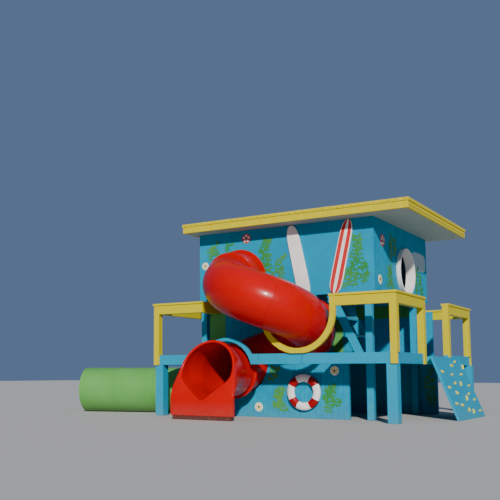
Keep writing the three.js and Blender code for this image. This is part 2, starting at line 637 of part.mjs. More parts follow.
deckPosts();
deckBeams();
cabinPosts();
deckFloor();
rails();
cabin();
porthole();
roof();
slide();
slideExit();
slideRing();
exitArch();
lowerWalls();
screens();
stair();
ramp();
tunnel();

export default tower;
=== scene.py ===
# Water slide tower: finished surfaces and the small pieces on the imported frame. Metres, +Z up.
import json
import math
import random

import bmesh
import bpy
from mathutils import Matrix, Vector


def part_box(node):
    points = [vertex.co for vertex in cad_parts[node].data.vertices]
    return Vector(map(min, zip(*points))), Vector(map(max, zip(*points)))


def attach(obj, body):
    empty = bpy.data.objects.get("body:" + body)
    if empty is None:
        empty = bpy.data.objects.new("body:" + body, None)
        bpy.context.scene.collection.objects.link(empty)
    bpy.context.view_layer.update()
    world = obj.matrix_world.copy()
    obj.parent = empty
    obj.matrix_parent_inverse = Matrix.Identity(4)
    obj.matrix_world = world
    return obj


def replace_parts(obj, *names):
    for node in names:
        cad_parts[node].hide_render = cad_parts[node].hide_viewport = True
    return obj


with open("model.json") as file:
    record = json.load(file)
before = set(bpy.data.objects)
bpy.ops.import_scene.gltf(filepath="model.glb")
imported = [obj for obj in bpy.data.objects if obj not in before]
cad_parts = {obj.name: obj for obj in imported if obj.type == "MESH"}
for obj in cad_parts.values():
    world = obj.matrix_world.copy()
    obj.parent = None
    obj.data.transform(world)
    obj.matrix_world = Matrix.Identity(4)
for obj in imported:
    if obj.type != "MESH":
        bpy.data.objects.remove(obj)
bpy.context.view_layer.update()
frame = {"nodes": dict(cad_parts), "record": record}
chance = random.Random(7)

BEAM_TOP = 1.26
FLOOR_TOP = 1.205
BEAM_UNDER = 1.055
DECK_FRONT, DECK_BACK = -0.095, 4.965
CABIN_FRONT, CABIN_BACK = 0.605, 3.93
CABIN_RIGHT = 4.5
PORTHOLE_Y, PORTHOLE_Z, PORTHOLE_PROUD = 2.37, 2.976, 0.09
PORTHOLE_COLLAR_R, PORTHOLE_SCREWS_R = 0.492, 0.473
LOWER_BACK_Y = 3.545
# Heads of bolts, screws and plugs: radius, height and number of sides
FLANGE_BOLT, RAIL_BOLT, HOLD_BOLT = (0.011, 0.009, 6), (0.012, 0.007, 6), (0.008, 0.006, 6)
EDGE_PLUG, PORTHOLE_SCREW = (0.009, 0.003, 10), (0.007, 0.003, 10)

# Colours, linear
BLUE = (0.0, 0.29, 0.47, 1)
BLUE_FADED = (0.0, 0.32, 0.50, 1)
BLUE_DEEP = (0.0, 0.25, 0.43, 1)
BLUE_RUBBED = (0.005, 0.38, 0.54, 1)
YELLOW = (0.62, 0.50, 0.0, 1)
YELLOW_FADED = (0.63, 0.54, 0.0, 1)
GREEN = (0.09, 0.34, 0.06, 1)
GREEN_FADED = (0.13, 0.38, 0.09, 1)
LEAF = (0.03, 0.23, 0.045, 1)
LEAF_PALE = (0.09, 0.30, 0.06, 1)
RED = (0.50, 0.0, 0.0, 1)
RED_FADED = (0.54, 0.001, 0.002, 1)
STRIPE = (0.60, 0.02, 0.02, 1)
BAND = (0.30, 0.0, 0.003, 1)
WHITE = (0.94, 0.91, 0.88, 1)
CREAM = (0.66, 0.58, 0.05, 1)
SOFFIT = (0.40, 0.46, 0.42, 1)
DARK_RED = (0.08, 0.002, 0.003, 1)
STEEL = (0.45, 0.46, 0.47, 1)
DIRT = (0.22, 0.20, 0.14, 1)


def new_group(name, inputs, outputs):
    tree = bpy.data.node_groups.new(name, "ShaderNodeTree")
    for label, kind, value in inputs:
        socket = tree.interface.new_socket(label, in_out="INPUT", socket_type=kind)
        socket.default_value = value
    for label, kind in outputs:
        tree.interface.new_socket(label, in_out="OUTPUT", socket_type=kind)
    return tree, tree.nodes.new("NodeGroupInput"), tree.nodes.new("NodeGroupOutput")


def node(tree, kind, inputs=None, **settings):
    made = tree.nodes.new(kind)
    for key, value in settings.items():
        setattr(made, key, value)
    for key, value in (inputs or {}).items():
        if isinstance(value, bpy.types.NodeSocket):
            tree.links.new(value, made.inputs[key])
        else:
            made.inputs[key].default_value = value
    return made


def math_node(tree, operation, a, b=0.0, clamp=False):
    return node(tree, "ShaderNodeMath", {0: a, 1: b}, operation=operation, use_clamp=clamp).outputs[0]


def blend_colors(tree, factor, a, b):
    mixed = node(tree, "ShaderNodeMix", {"Factor": factor}, data_type="RGBA")
    for socket, value in ((mixed.inputs[6], a), (mixed.inputs[7], b)):
        if isinstance(value, bpy.types.NodeSocket):
            tree.links.new(value, socket)
        else:
            socket.default_value = value
    return mixed.outputs[2]


def sun_fade_group():
    """Paint that has faded in soft patches."""
    tree, start, end = new_group(
        "sun_fade",
        [("Paint", "NodeSocketColor", (0.5, 0.5, 0.5, 1)), ("Faded", "NodeSocketColor", (0.6, 0.6, 0.6, 1)),
         ("Patch Scale", "NodeSocketFloat", 1.3)],
        [("Color", "NodeSocketColor")])
    place = node(tree, "ShaderNodeTexCoord").outputs["Object"]
    patches = node(tree, "ShaderNodeTexNoise", {"Vector": place, "Scale": start.outputs["Patch Scale"],
                                                "Detail": 4.0, "Roughness": 0.6})
    soft = node(tree, "ShaderNodeMapRange",
                {"Value": patches.outputs["Fac"], "From Min": 0.35, "From Max": 0.7})
    tree.links.new(blend_colors(tree, soft.outputs[0], start.outputs["Paint"], start.outputs["Faded"]),
                   end.inputs["Color"])
    return tree


def edge_wear_group():
    """Paint rubbed thin along raised edges."""
    tree, start, end = new_group(
        "edge_wear",
        [("Color", "NodeSocketColor", (0.5, 0.5, 0.5, 1)), ("Rubbed", "NodeSocketColor", (0.8, 0.8, 0.8, 1)),
         ("Amount", "NodeSocketFloat", 0.4)],
        [("Color", "NodeSocketColor")])
    edge = node(tree, "ShaderNodeNewGeometry").outputs["Pointiness"]
    raised = node(tree, "ShaderNodeMapRange", {"Value": edge, "From Min": 0.515, "From Max": 0.58})
    place = node(tree, "ShaderNodeTexCoord").outputs["Object"]
    patchy = node(tree, "ShaderNodeTexNoise", {"Vector": place, "Scale": 9.0, "Detail": 6.0})
    broken = node(tree, "ShaderNodeMapRange",
                  {"Value": patchy.outputs["Fac"], "From Min": 0.42, "From Max": 0.62})
    factor = math_node(tree, "MULTIPLY", raised.outputs[0], broken.outputs[0])
    factor = math_node(tree, "MULTIPLY", factor, start.outputs["Amount"], clamp=True)
    tree.links.new(blend_colors(tree, factor, start.outputs["Color"], start.outputs["Rubbed"]),
                   end.inputs["Color"])
    return tree


def splash_dirt_group():
    """Sand and splashes that settle near the ground."""
    tree, start, end = new_group(
        "splash_dirt",
        [("Color", "NodeSocketColor", (0.5, 0.5, 0.5, 1)), ("Dirt", "NodeSocketColor", DIRT),
         ("Height", "NodeSocketFloat", 0.35), ("Amount", "NodeSocketFloat", 0.35)],
        [("Color", "NodeSocketColor")])
    place = node(tree, "ShaderNodeTexCoord").outputs["Object"]
    height = node(tree, "ShaderNodeSeparateXYZ", {0: place}).outputs["Z"]
    low = node(tree, "ShaderNodeMapRange",
               {"Value": height, "From Min": 0.0, "From Max": start.outputs["Height"],
                "To Min": 1.0, "To Max": 0.0}).outputs[0]
    specks = node(tree, "ShaderNodeTexNoise", {"Vector": place, "Scale": 14.0, "Detail": 5.0}).outputs["Fac"]
    share = math_node(tree, "MULTIPLY", low, specks)
    factor = math_node(tree, "MULTIPLY", share, start.outputs["Amount"], clamp=True)
    tree.links.new(blend_colors(tree, factor, start.outputs["Color"], start.outputs["Dirt"]),
                   end.inputs["Color"])
    return tree


def gloss_drift_group():
    """Roughness that wanders between two values."""
    tree, start, end = new_group(
        "gloss_drift",
        [("Low", "NodeSocketFloat", 0.3), ("High", "NodeSocketFloat", 0.5),
         ("Scale", "NodeSocketFloat", 6.0)],
        [("Roughness", "NodeSocketFloat")])
    place = node(tree, "ShaderNodeTexCoord").outputs["Object"]
    smears = node(tree, "ShaderNodeTexNoise",
                  {"Vector": place, "Scale": start.outputs["Scale"], "Detail": 5.0})
    spread = node(tree, "ShaderNodeMapRange",
                  {"Value": smears.outputs["Fac"], "From Min": 0.3, "From Max": 0.7,
                   "To Min": start.outputs["Low"], "To Max": start.outputs["High"]})
    tree.links.new(spread.outputs[0], end.inputs["Roughness"])
    return tree


def skin_relief_group():
    """Fine relief of a painted or moulded skin."""
    tree, start, end = new_group(
        "skin_relief",
        [("Scale", "NodeSocketFloat", 60.0), ("Depth", "NodeSocketFloat", 0.1),
         ("Stretch", "NodeSocketVector", (1, 1, 1))],
        [("Normal", "NodeSocketVector")])
    place = node(tree, "ShaderNodeTexCoord").outputs["Object"]
    stretched = node(tree, "ShaderNodeVectorMath", {0: place, 1: start.outputs["Stretch"]},
                     operation="MULTIPLY")
    grain = node(tree, "ShaderNodeTexNoise",
                 {"Vector": stretched.outputs[0], "Scale": start.outputs["Scale"], "Detail": 3.0})
    relief = node(tree, "ShaderNodeBump",
                  {"Strength": start.outputs["Depth"], "Distance": 0.004, "Height": grain.outputs["Fac"]})
    tree.links.new(relief.outputs["Normal"], end.inputs["Normal"])
    return tree


GROUPS = {"fade": sun_fade_group(), "wear": edge_wear_group(), "dirt": splash_dirt_group(),
          "gloss": gloss_drift_group(), "relief": skin_relief_group()}


def use_group(tree, key, inputs):
    made = node(tree, "ShaderNodeGroup", node_tree=GROUPS[key])
    for label, value in inputs.items():
        if isinstance(value, bpy.types.NodeSocket):
            tree.links.new(value, made.inputs[label])
        else:
            made.inputs[label].default_value = value
    return made.outputs[0]


WEAR_AMOUNT = 0.35
COAT_ROUGHNESS = 0.12


def surface(name, paint, faded, gloss=(0.35, 0.5), rubbed=None, dirt=0.35, relief=(60.0, 0.1),
            stretch=(1, 1, 1), metallic=0.0, coat=0.0, shine=0.25):
    """A painted, moulded or metal surface. gloss is its least and most roughness, relief scale and depth."""
    material = bpy.data.materials.new(name)
    material.use_nodes = True
    tree = material.node_tree
    shader = tree.nodes["Principled BSDF"]
    color = use_group(tree, "fade", {"Paint": paint, "Faded": faded})
    if rubbed:
        color = use_group(tree, "wear", {"Color": color, "Rubbed": rubbed, "Amount": WEAR_AMOUNT})
    if dirt:
        color = use_group(tree, "dirt", {"Color": color, "Amount": dirt})
    tree.links.new(color, shader.inputs["Base Color"])
    tree.links.new(use_group(tree, "gloss", {"Low": gloss[0], "High": gloss[1]}), shader.inputs["Roughness"])
    normal = use_group(tree, "relief", {"Scale": relief[0], "Depth": relief[1], "Stretch": stretch})
    tree.links.new(normal, shader.inputs["Normal"])
    shader.inputs["Metallic"].default_value = metallic
    shader.inputs["Specular IOR Level"].default_value = shine
    if coat:
        shader.inputs["Coat Weight"].default_value = coat
        shader.inputs["Coat Roughness"].default_value = COAT_ROUGHNESS
    return material


UPRIGHT_GRAIN = (6, 6, 0.5)
LOOKS = {
    "blue_paint": surface("blue_paint", BLUE, BLUE_FADED, rubbed=BLUE_RUBBED),
    "blue_boards": surface("blue_boards", BLUE, BLUE_DEEP, (0.45, 0.62), BLUE_RUBBED, relief=(18.0, 0.22),
                           stretch=UPRIGHT_GRAIN, shine=0.15),
    "yellow_paint": surface("yellow_paint", YELLOW, YELLOW_FADED, (0.38, 0.52), (0.75, 0.62, 0.1, 1)),
    "green_boards": surface("green_boards", GREEN, GREEN_FADED, (0.45, 0.6), (0.2, 0.45, 0.14, 1),
                            relief=(18.0, 0.22), stretch=UPRIGHT_GRAIN, shine=0.15),
    "green_plastic": surface("green_plastic", GREEN, GREEN_FADED, (0.35, 0.48), relief=(120.0, 0.05)),
    "red_plastic": surface("red_plastic", RED, RED_FADED, (0.24, 0.33), relief=(160.0, 0.03),
                           coat=0.16, shine=0.16),
    "dark_red_rubber": surface("dark_red_rubber", DARK_RED, (0.10, 0.004, 0.005, 1), (0.6, 0.75)),
    "white_plastic": surface("white_plastic", WHITE, (0.80, 0.75, 0.70, 1), (0.35, 0.5),
                             relief=(120.0, 0.05)),
    "soffit_boards": surface("soffit_boards", SOFFIT, (0.44, 0.49, 0.45, 1), (0.6, 0.75), dirt=0.0,
                             relief=(14.0, 0.1)),
    "ramp_plastic": surface("ramp_plastic", BLUE_FADED, BLUE, (0.38, 0.5), relief=(90.0, 0.08)),
}
LEAF_PAINT = surface("leaf_green_paint", LEAF, LEAF_PALE, (0.45, 0.6), dirt=0.0, relief=(80.0, 0.1))
STRIPE_PAINT = surface("stripe_red_paint", STRIPE, (0.64, 0.05, 0.045, 1), (0.35, 0.5), dirt=0.0)
CREAM_PAINT = surface("cream_hold_plastic", CREAM, (0.70, 0.62, 0.10, 1), (0.4, 0.55), dirt=0.0)
PALE_PATCH_LOOK = surface("pale_patch_look", (0.42, 0.55, 0.58, 1), (0.48, 0.60, 0.62, 1), (0.4, 0.55),
                      dirt=0.0)
BOLT_STEEL = surface("bolt_steel", STEEL, (0.55, 0.55, 0.55, 1), (0.25, 0.4), dirt=0.0, metallic=1.0,
                     shine=0.5)
DARK_PLUG = surface("dark_plug", (0.08, 0.06, 0.005, 1), (0.12, 0.08, 0.01, 1), (0.5, 0.6), dirt=0.0)
JOINT_DARK = surface("joint_shadow", (0.0, 0.05, 0.10, 1), (0.0, 0.07, 0.12, 1), (0.6, 0.7), dirt=0.0)
BAND_PAINT = surface("band_red_paint", BAND, (0.34, 0.003, 0.006, 1), (0.35, 0.5), dirt=0.0)
RED_JOINT = surface("red_joint_shadow", (0.3, 0.0, 0.0, 1), (0.34, 0.0, 0.0, 1), (0.5, 0.6), dirt=0.0)


class Shape:
    """Points and faces collected into one piece."""

    def __init__(self):
        self.points = []
        self.faces = []

    def add(self, points, faces):
        first = len(self.points)
        self.points.extend(Vector(p) for p in points)
        self.faces.extend([tuple(first + i for i in face) for face in faces])

    def block(self, low, high):
        xs, ys, zs = zip(low, high)
        corners = [(x, y, z) for z in zs for y in ys for x in xs]
        self.add(corners, [(0, 2, 3, 1), (4, 5, 7, 6), (0, 1, 5, 4),
                           (2, 6, 7, 3), (0, 4, 6, 2), (1, 3, 7, 5)])

    def prism(self, outline, lift):
        """A flat plate: its outline as points, and the vector from its back to its face."""
        count = len(outline)
        back = [Vector(p) for p in outline]
        face = [p + lift for p in back]
        sides = [(i, (i + 1) % count, count + (i + 1) % count, count + i) for i in range(count)]
        self.add(back + face, [tuple(reversed(range(count))), tuple(range(count, 2 * count))] + sides)

    def rings(self, rings, closed=False, capped=False):
        """Loops of points joined one to the next."""
        size = len(rings[0])
        count = len(rings)
        faces = []
        for k in range(count if closed else count - 1):
            a, b = k * size, ((k + 1) % count) * size
            faces += [(a + i, a + (i + 1) % size, b + (i + 1) % size, b + i) for i in range(size)]
        if capped:
            faces += [tuple(reversed(range(size))), tuple(range((count - 1) * size, count * size))]
        self.add([p for ring in rings for p in ring], faces)

    def round_head(self, center, axis, radius, height, sides=8):
        """A low round or hexagonal head standing on a face."""
        axis = Vector(axis).normalized()
        side, up = across(axis)
        center = Vector(center)
        loops = []
        for lift, r in ((0.0, radius), (height * 0.7, radius), (height, radius * 0.75)):
            loops.append([center + axis * lift + (side * math.cos(t) + up * math.sin(t)) * r
                          for t in turns(sides)])
        self.rings(loops, capped=True)

    def piece(self, name, material, slot=None, bevel=0.0, smooth=False, segments=2):
        """Makes the object. It rides on the fixed body. slot is not used."""
        mesh = bpy.data.meshes.new(name)
        mesh.from_pydata(self.points, [], self.faces)
        mesh.validate()
        made = bpy.data.objects.new(name, mesh)
        bpy.context.scene.collection.objects.link(made)
        mesh.materials.append(material)
        tidy_normals(made)
        finish_edges(made, bevel, smooth, segments)
        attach(made, "root")
        return made

    def shell(self, name, slot):
        """A smooth piece in one of the record's own materials."""
        return self.piece(name, LOOKS[slot], slot, smooth=True)


def turns(count, start=0.0, sweep=math.tau):
    """Angles in even steps from a start, without the last one."""
    return [start + sweep * i / count for i in range(count)]


def across(axis):
    """Two directions square to an axis."""
    side = axis.cross(Vector((0, 0, 1)))
    if side.length < 1e-3:
        side = Vector((1, 0, 0))
    side.normalize()
    return side, side.cross(axis).normalized()


def tidy_normals(made):
    work = bmesh.new()
    work.from_mesh(made.data)
    bmesh.ops.recalc_face_normals(work, faces=work.faces)
    work.to_mesh(made.data)
    work.free()


BEVEL_ANGLE, SHARP_ANGLE = math.radians(32), math.radians(40)
PAINT_EDGE, BOARD_EDGE = 0.006, 0.003
WELD_WITHIN = 0.0002


def finish_edges(made, width, smooth, segments=2):
    """Rounds the edges where a width is given, and otherwise only shades the piece smooth."""
    if smooth or width:
        made.data.shade_smooth()
    if width:
        cut = made.modifiers.new("soft edges", "BEVEL")
        cut.width = width
        cut.segments = segments
        cut.limit_method = "ANGLE"
        cut.angle_limit = BEVEL_ANGLE
        made.modifiers.new("flat faces", "WEIGHTED_NORMAL").weight = 80
    elif smooth:
        made.data.set_sharp_from_angle(angle=SHARP_ANGLE)


def dress_nodes():
    """The frame's own nodes get their paint and soft edges."""
    for entry in frame["record"]["subparts"]:
        made = frame["nodes"][entry["node"]]
        made.data.materials.clear()
        made.data.materials.append(LOOKS[entry["material_slot"]])
        weld = made.modifiers.new("weld", "WELD")
        weld.merge_threshold = WELD_WITHIN
        finish_edges(made, BOARD_EDGE if entry["material_slot"] == "blue_boards" else PAINT_EDGE, True)


# Slide and tunnel, drawn finer over the frame's own sections
LEG_X, TURN_R = 1.62, 0.765
FRONT_TURN_Y, BACK_TURN_Y = 0.25, 0.43
START_Y, START_Z = 0.665, 2.907
TUBE_R, TUBE_WALL = 0.515, 0.014
FLANGE_R, FLANGE_THICK = 0.56, 0.034
SLOPES = {"top": 0.2, "steep": 0.375, "end": 0.01}
STEEPENS, LEVELS = (0.25, 0.6), (5.1, 5.9)
ENTRY_RUN = START_Y - FRONT_TURN_Y
HALF_TURN = math.pi * TURN_R
RETURN_RUN = BACK_TURN_Y - FRONT_TURN_Y
EXIT_FROM = ENTRY_RUN + HALF_TURN + RETURN_RUN + HALF_TURN
FLUSH_JOINTS, EXIT_JOINT = (1.25, 2.04), 5.64
JOINTS = [0.47, *FLUSH_JOINTS, 3.05, 4.35, EXIT_JOINT]
FLANGE_OVERLAP = 0.004
JOINT_GAP = 0.0005
BOLT_COUNT, BOLTS_R = 14, TUBE_R + 0.024
SEAM_PROUD, SEAM_WIDE, SEAM_OVERLAP = 0.0015, 0.008, 0.003
WALL_FLANGE_WIDE, WALL_FLANGE_THICK = 0.06, 0.02
FLANGE_BEVEL, FLANGE_OFF = 0.006, 0.001
SECTIONS = ["slide_entry", "slide_upper_bend_1", "slide_upper_bend_middle", "slide_upper_bend_2",
            "slide_lower_bend_1", "slide_lower_bend_2"]


def eased(run, span):
    """How far a slope that changes evenly over a span has come, as a length of run."""
    start, end = span
    u = (run - start) / (end - start)
    if u <= 0:
        return 0.0
    if u >= 1:
        return (end - start) * (u - 0.5)
    return (end - start) * (u ** 3 - u ** 4 / 2)


def slide_point(run):
    """The slide's middle line: down the leg, round the front, back, round again and out."""
    loop_x = LEG_X + TURN_R
    z = (START_Z - SLOPES["top"] * run - (SLOPES["steep"] - SLOPES["top"]) * eased(run, STEEPENS)
         + (SLOPES["steep"] - SLOPES["end"]) * eased(run, LEVELS))
    if run < ENTRY_RUN:
        return Vector((LEG_X, START_Y - run, z))
    rest = run - ENTRY_RUN
    if rest < HALF_TURN:
        a = math.pi + rest / TURN_R
        return Vector((loop_x + TURN_R * math.cos(a), FRONT_TURN_Y + TURN_R * math.sin(a), z))
    rest -= HALF_TURN
    if rest < RETURN_RUN:
        return Vector((loop_x + TURN_R, FRONT_TURN_Y + rest, z))
    rest -= RETURN_RUN
    if rest < HALF_TURN:
        a = rest / TURN_R
        return Vector((loop_x + TURN_R * math.cos(a), BACK_TURN_Y + TURN_R * math.sin(a), z))
    return Vector((LEG_X, BACK_TURN_Y - (rest - HALF_TURN), z))


def frame_at(line, run, step=0.004):
    """A point of a line, its direction there and two directions square to it."""
    axis = (line(run + step) - line(run - step)).normalized()
    return line(run), axis, *across(axis)


def loop_at(line, run, radius, shift=0.0, angles=turns(72)):
    middle, axis, side, up = frame_at(line, run)
    middle = middle + axis * shift
    return [middle + (side * math.cos(t) + up * math.sin(t)) * radius for t in angles]


def tube_shell(shape, line, start, end, radius, wall, step=0.045):
    """A tube with a real wall, along part of a line."""
    count = max(2, round((end - start) / step))
    stations = [start + (end - start) * k / count for k in range(count + 1)]
    outside = [loop_at(line, run, radius) for run in stations]
    inside = [loop_at(line, run, radius - wall) for run in reversed(stations)]
    shape.rings(outside + inside, closed=True)


def flange(shape, line, run, way, inner, outer=FLANGE_R, thick=FLANGE_THICK):
    """A ring round the end of a section, with bevelled rims."""
    soft = FLANGE_BEVEL
    profile = [(inner, FLANGE_OFF), (outer - soft, FLANGE_OFF), (outer, soft),
               (outer, thick - soft), (outer - soft, thick), (inner, thick)]
    shape.rings([loop_at(line, run, r, way * h) for r, h in profile], closed=True)


def flange_bolts(shape, line, run):
    middle, axis, side, up = frame_at(line, run)
    for t in turns(BOLT_COUNT, 0.2):
        spot = middle + (side * math.cos(t) + up * math.sin(t)) * BOLTS_R
        for way in (-1, 1):
            shape.round_head(spot + axis * way * FLANGE_THICK, axis * way, *FLANGE_BOLT)


def slide():
    ends = [0.0] + JOINTS
    bolts = Shape()
    for name, start, end in zip(SECTIONS, ends, JOINTS):
        section = Shape()
        tube_shell(section, slide_point, start, end - JOINT_GAP, TUBE_R, TUBE_WALL)
        if start and start not in FLUSH_JOINTS:
            flange(section, slide_point, start, 1, TUBE_R - FLANGE_OVERLAP)
        if end not in FLUSH_JOINTS:
            flange(section, slide_point, end, -1, TUBE_R - FLANGE_OVERLAP)
            flange_bolts(bolts, slide_point, end)
        made = section.shell(name + "_shell", "red_plastic")
        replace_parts(made, name)
    bolts.piece("slide_flange_bolts", BOLT_STEEL, smooth=True)
    seam = Shape()
    flange(seam, slide_point, FLUSH_JOINTS[1], 1, TUBE_R - SEAM_OVERLAP, TUBE_R + SEAM_PROUD, SEAM_WIDE)
    seam.piece("slide_flush_seam", RED_JOINT, smooth=True)
    wall_flange()


def wall_flange():
    """The ring round the slide where it leaves the cabin's front wall."""
    def out_of_wall(run):
        drop = SLOPES["top"] * (START_Y - CABIN_FRONT + run)
        return Vector((LEG_X, CABIN_FRONT - run, START_Z - drop))

    collar = Shape()
    flange(collar, out_of_wall, 0.0, 1, TUBE_R, TUBE_R + WALL_FLANGE_WIDE, WALL_FLANGE_THICK)
    collar.shell("slide_wall_flange", "red_plastic")


MOUTH_Y, MOUTH_Z = -1.02, 0.915
MOUTH_OUTER, MOUTH_INNER, MOUTH_TIP, TIP_R = 0.59, 0.562, 0.358, 0.06
FLARE_FROM, FLARE_TO = -0.15, -0.56
MASK_ARCH, MASK_HALF, MASK_SHOULDER, MASK_UNDER, MASK_THICK = 0.612, 0.697, 0.62, 0.075, 0.08
MASK_NECK, OPENING_STRAIGHT = 0.985, 0.25
MASK_EDGE, LIP = 0.012, 0.022
LEAN_FROM, LEAN = 0.45, 0.47 / 1.15


def mask_outline():
    """The mouth's face plate about the mouth's middle: a skirt below, an arch above."""
    shoulder, under = MASK_SHOULDER - MOUTH_Z, MASK_UNDER - MOUTH_Z
    start = math.acos(MASK_NECK)
    angles = [start + (math.pi - 2 * start) * k / 40 for k in range(41)]
    arch = [(MASK_ARCH * math.cos(a), MASK_ARCH * math.sin(a)) for a in angles]
    return arch + [(-MASK_HALF, shoulder), (-MASK_HALF, under), (MASK_HALF, under), (MASK_HALF, shoulder)]


def opening_outline():
    """The mouth's opening: round above, drawn down to a rounded tip."""
    side = math.asin(OPENING_STRAIGHT)
    angles = [-side + (math.pi + 2 * side) * k / 60 for k in range(61)]
    above = [(MOUTH_INNER * math.cos(a), MOUTH_INNER * math.sin(a)) for a in angles]
    tip = MOUTH_TIP + TIP_R - MOUTH_Z
    below = [(TIP_R * math.cos(a), tip + TIP_R * math.sin(a))
             for a in (math.radians(219 + 102 * k / 12) for k in range(13))]
    return above + below


def reach(outline, angle):
    """How far an outline lies from its middle in one direction."""
    dx, dz = math.cos(angle), math.sin(angle)
    best = 0.0
    for (x0, z0), (x1, z1) in zip(outline, outline[1:] + outline[:1]):
        ex, ez = x1 - x0, z1 - z0
        spread = dx * ez - dz * ex
        if abs(spread) < 1e-9:
            continue
        along = (x0 * ez - z0 * ex) / spread
        share = (x0 * dz - z0 * dx) / spread
        if along > 0 and -1e-6 <= share <= 1 + 1e-6:
            best = max(best, along)
    return best


CORNER_SPREAD = math.radians(9)


def softened(outline, angle):
    """The same distance, averaged over a few degrees so that corners come out rounded."""
    return sum(reach(outline, angle + CORNER_SPREAD * k / 4) for k in range(-4, 5)) / 9


def face_y(z):
    """Where the leaning face plate stands at a height."""
    return MOUTH_Y + max(0.0, z - LEAN_FROM) * LEAN


def back_y(z):
    return face_y(z) + MASK_THICK


def slide_exit():
    """The last length of the slide with its flared mouth, drawn finer than the frame's node."""
    corners = [math.atan2(z - MOUTH_Z, side * MASK_HALF) % math.tau
               for z in (MASK_UNDER, MASK_SHOULDER) for side in (-1, 1)]
    angles = sorted(turns(120) + corners)
    mirrored = [math.pi - a for a in angles]
    mask = [reach(mask_outline(), a) for a in angles]
    opening = [softened(opening_outline(), a) for a in angles]
    flare_run = EXIT_FROM + BACK_TURN_Y - FLARE_FROM

    def ring(radii, depth):
        loop = []
        for a, r in zip(angles, radii):
            z = MOUTH_Z + r * math.sin(a)
            loop.append(Vector((LEG_X + r * math.cos(a), depth(z), z)))
        return loop

    def between(first, last, count):
        return [[p.lerp(q, k / count) for p, q in zip(first, last)] for k in range(1, count)]

    runs = [EXIT_JOINT + 0.001 + (flare_run - EXIT_JOINT) * k / 8 for k in range(9)]
    tube = [loop_at(slide_point, run, TUBE_R, angles=mirrored) for run in runs]
    bore = [loop_at(slide_point, run, TUBE_R - TUBE_WALL, angles=mirrored) for run in runs]
    nose = [MOUTH_OUTER] * len(angles)
    flared = ring(nose, lambda z: max(FLARE_TO, back_y(z) + 0.02))
    loops = tube + between(tube[-1], flared, 6) + [flared, ring(nose, back_y), ring(mask, back_y)]
    for k in range(5):
        a = math.pi / 2 * k / 4
        radii = [r - MASK_EDGE * (1 - math.cos(a)) for r in mask]
        loops.append(ring(radii, lambda z: face_y(z) + MASK_EDGE * (1 - math.sin(a))))
    for k in range(7):
        a = math.pi / 2 * k / 6
        radii = [r + LIP * (1 - math.sin(a)) for r in opening]
        loops.append(ring(radii, lambda z: face_y(z) + LIP * (1 - math.cos(a))))
    throat = ring(opening, lambda z: max(FLARE_TO, face_y(z) + LIP + 0.03))
    loops += between(loops[-1], throat, 3) + [throat] + between(throat, bore[-1], 10) + list(reversed(bore))
    exit_part = Shape()
    exit_part.rings(loops, closed=True)
    flange(exit_part, slide_point, EXIT_JOINT, 1, TUBE_R - FLANGE_OVERLAP)
    made = exit_part.shell("slide_exit_shell", "red_plastic")
    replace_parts(made, "slide_exit")


TUNNEL_R, TUNNEL_WALL = 0.506, 0.014
TUNNEL_ENDS = ((-2.55, 0.572), (-0.8, 1.096), (0.08, 1.64))
TUNNEL_CORNER = 0.556
HANGER_LOW, HANGER_HIGH = (-0.075, 1.43, 0.99), (-0.015, 1.6, 1.055)
TUNNEL_BAND_PROUD, TUNNEL_BAND_WIDE, TUNNEL_BAND_OVERLAP = 0.012, 0.05, 0.002
BAND_BEFORE_JOINT, BAND_SHARE = 0.06, 0.45


def tunnel():
    """The crawl tunnel's straight tube and bend, with two raised bands."""
    start, joint, end = (Vector((x, y, TUNNEL_R)) for x, y in TUNNEL_ENDS)
    along = (joint - start).normalized()
    corner = joint + along * TUNNEL_CORNER

    def straight(run):
        return start + along * run

    def bend(t):
        return joint * (1 - t) ** 2 + corner * 2 * t * (1 - t) + end * t * t

    length = (joint - start).length
    tube = Shape()
    tube_shell(tube, straight, 0, length, TUNNEL_R, TUNNEL_WALL, step=0.4)
    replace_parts(tube.shell("tunnel_tube_shell", "green_plastic"), "tunnel_tube")
    curve = Shape()
    tube_shell(curve, bend, 0.0, 1.0, TUNNEL_R, TUNNEL_WALL)
    curve.block(HANGER_LOW, HANGER_HIGH)
    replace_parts(curve.shell("tunnel_bend_shell", "green_plastic"), "tunnel_bend")
    bands = Shape()
    for run in (length - BAND_BEFORE_JOINT, length * BAND_SHARE):
        flange(bands, straight, run, 1, TUNNEL_R - TUNNEL_BAND_OVERLAP, TUNNEL_R + TUNNEL_BAND_PROUD,
               TUNNEL_BAND_WIDE)
    # Flat underneath, where the tunnel lies on the ground.
    bands.points = [Vector((p.x, p.y, max(p.z, 0.0))) for p in bands.points]
    bands.shell("tunnel_bands", "green_plastic")


# Boards on walls and floors
BOARD_PROUD, BOARD_GAP = 0.006, 0.005
BOARD_WIDE, SCREEN_BOARD_WIDE = 0.118, 0.2
BOARD_BEVEL = 0.0015
SLIDE_HOLE = (LEG_X, 0.98, 0.61)


def wall_face(name, way):
    """A wall's face on one side: how to place things on it, its outward normal and its two spans."""
    low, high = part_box(name)
    axis = 0 if way[1] == "x" else 1
    sign = 1 if way[0] == "+" else -1
    level = high[axis] if sign > 0 else low[axis]
    place, normal = on_wall(axis, level, sign)
    other = 1 - axis
    return place, normal, (low[other], high[other]), (low[2], high[2])


def on_wall(axis, level, sign):
    """Places things on a wall: (along, up, off) to a point, and the wall's outward normal."""
    normal = Vector((sign, 0, 0)) if axis == 0 else Vector((0, sign, 0))

    def place(u, z, off=0.0):
        at = level + sign * off
        return Vector((at, u, z)) if axis == 0 else Vector((u, at, z))
    return place, normal


